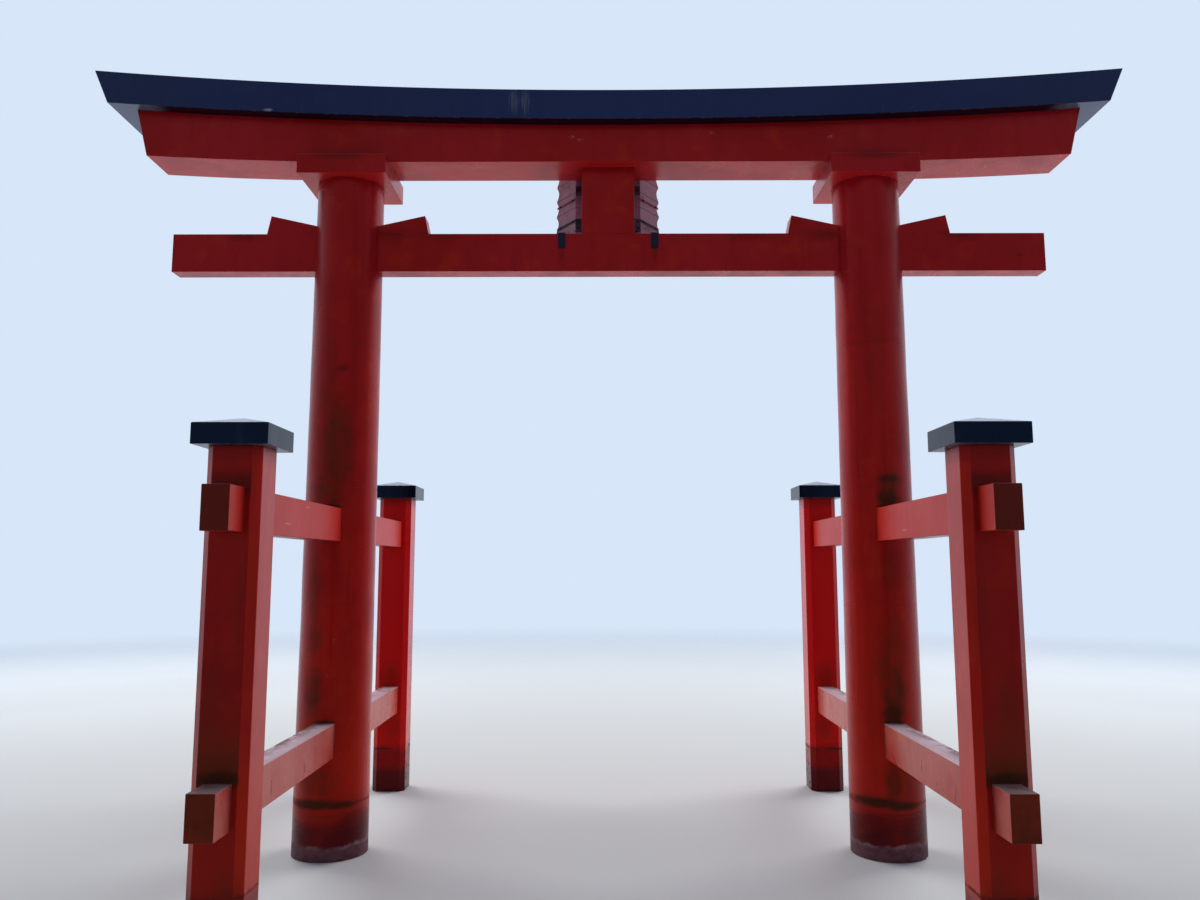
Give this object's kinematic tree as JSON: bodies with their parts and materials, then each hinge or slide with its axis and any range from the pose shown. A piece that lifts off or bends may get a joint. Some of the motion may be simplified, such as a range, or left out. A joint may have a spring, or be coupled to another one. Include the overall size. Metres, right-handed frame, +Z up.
{
  "type": "torii gate",
  "caption": "Two-legged shrine gate with four bracing posts, through side beams, wedged tie beam, curved double lintel and a framed bare plaque.",
  "frame": {"origin": "on the ground, midway between the two main pillars", "axes": "+X along the gate, to the right in the picture; +Y through the gate, to the side that the plaque faces; +Z up"},
  "size_m": [11.8454, 6.886, 8.781],
  "materials": {
    "vermilion_concrete": "smooth concrete under glossy vermilion paint, stained at the feet",
    "black_concrete": "smooth concrete under glossy black paint, weathered on top",
    "plaque_wood": "faded red paint on boards",
    "black_iron": "black paint with rust at the edges"
  },
  "bodies": {
    "root": {"left_pillar": "vermilion_concrete", "right_pillar": "vermilion_concrete", "left_capital": "vermilion_concrete", "right_capital": "vermilion_concrete", "lower_lintel": "vermilion_concrete", "upper_lintel": "black_concrete", "tie_beam": "vermilion_concrete", "left_outer_wedge": "vermilion_concrete", "left_inner_wedge": "vermilion_concrete", "right_inner_wedge": "vermilion_concrete", "right_outer_wedge": "vermilion_concrete", "centre_strut": "vermilion_concrete", "plaque_board": "plaque_wood", "plaque_left_side": "plaque_wood", "plaque_right_side": "plaque_wood", "plaque_top": "plaque_wood", "plaque_bottom": "plaque_wood", "plaque_upper_batten": "black_iron", "plaque_lower_batten": "black_iron", "left_strap": "black_iron", "right_strap": "black_iron", "left_stay": "black_iron", "right_stay": "black_iron", "left_back_post": "vermilion_concrete", "left_front_post": "vermilion_concrete", "right_back_post": "vermilion_concrete", "right_front_post": "vermilion_concrete", "left_back_cap": "black_concrete", "left_front_cap": "black_concrete", "right_back_cap": "black_concrete", "right_front_cap": "black_concrete", "left_upper_beam": "vermilion_concrete", "left_lower_beam": "vermilion_concrete", "right_upper_beam": "vermilion_concrete", "right_lower_beam": "vermilion_concrete"}
  },
  "joints": []
}
